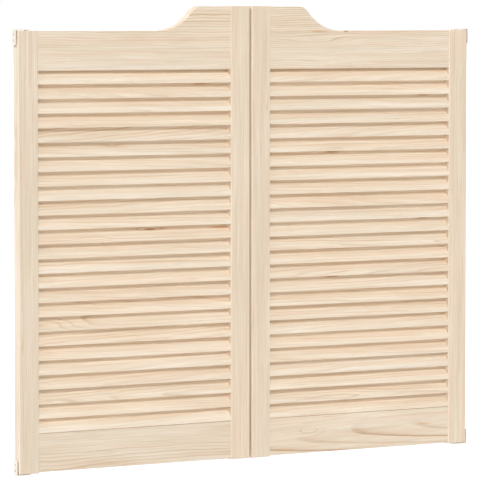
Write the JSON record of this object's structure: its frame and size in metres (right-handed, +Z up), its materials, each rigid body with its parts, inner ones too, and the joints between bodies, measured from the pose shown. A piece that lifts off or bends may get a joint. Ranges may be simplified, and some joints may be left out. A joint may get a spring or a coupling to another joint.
{
  "type": "cafe swinging doors",
  "caption": "Pair of low louvred cafe doors in plain pine with curved top corners, hung on sprung pivots between two door jambs so that each leaf swings both ways.",
  "frame": {"origin": "middle of the doorway, on the doors' middle plane, level with the undersides of the lower brackets", "axes": "X across the doorway towards the right jamb seen from the front, Y from front to back with the front facing -Y, Z up"},
  "size_m": [1.05, 0.02, 0.9003],
  "materials": {
    "pine_frame": "planed bare pine, pale, unvarnished",
    "pine_slat": "planed bare pine, pale, unvarnished",
    "white_enamel": "white stoved enamel on pressed steel",
    "zinc_steel": "bright zinc plate",
    "spring_steel": "drawn spring wire, oiled",
    "nylon": "natural moulded nylon"
  },
  "bodies": {
    "jamb_hardware": {"left_bottom_bracket": "white_enamel", "left_top_bracket": "white_enamel", "left_bottom_pin": "zinc_steel", "left_top_pin": "zinc_steel", "left_thrust_washer": "nylon", "right_bottom_bracket": "white_enamel", "right_top_bracket": "white_enamel", "right_bottom_pin": "zinc_steel", "right_top_pin": "zinc_steel", "right_thrust_washer": "nylon"},
    "left_leaf": {"left_hinge_stile": "pine_frame", "left_meeting_stile": "pine_frame", "left_top_rail": "pine_frame", "left_bottom_rail": "pine_frame", "left_slat_01_02": "pine_slat", "left_slat_03_04": "pine_slat", "left_slat_05_06": "pine_slat", "left_slat_07_08": "pine_slat", "left_slat_09_10": "pine_slat", "left_slat_11_12": "pine_slat", "left_slat_13_14": "pine_slat", "left_slat_15_16": "pine_slat", "left_slat_17_18": "pine_slat", "left_slat_19_20": "pine_slat", "left_slat_21_22": "pine_slat", "left_slat_23_24": "pine_slat", "left_slat_25": "pine_slat", "left_bottom_bush": "nylon", "left_top_bush": "nylon", "left_return_spring": "spring_steel"},
    "right_leaf": {"right_hinge_stile": "pine_frame", "right_meeting_stile": "pine_frame", "right_top_rail": "pine_frame", "right_bottom_rail": "pine_frame", "right_slat_01_02": "pine_slat", "right_slat_03_04": "pine_slat", "right_slat_05_06": "pine_slat", "right_slat_07_08": "pine_slat", "right_slat_09_10": "pine_slat", "right_slat_11_12": "pine_slat", "right_slat_13_14": "pine_slat", "right_slat_15_16": "pine_slat", "right_slat_17_18": "pine_slat", "right_slat_19_20": "pine_slat", "right_slat_21_22": "pine_slat", "right_slat_23_24": "pine_slat", "right_slat_25": "pine_slat", "right_bottom_bush": "nylon", "right_top_bush": "nylon", "right_return_spring": "spring_steel"}
  },
  "joints": [
    {"name": "left_swing", "type": "hinge", "parent": "jamb_hardware", "child": "left_leaf", "pos_m": [-0.499, 0, 0.43], "axis": [0, 0, 1], "range_deg": [-90, 90], "stiffness_Nm_per_rad": 1},
    {"name": "right_swing", "type": "hinge", "parent": "jamb_hardware", "child": "right_leaf", "pos_m": [0.499, 0, 0.43], "axis": [0, 0, 1], "range_deg": [-90, 90], "stiffness_Nm_per_rad": 1}
  ]
}
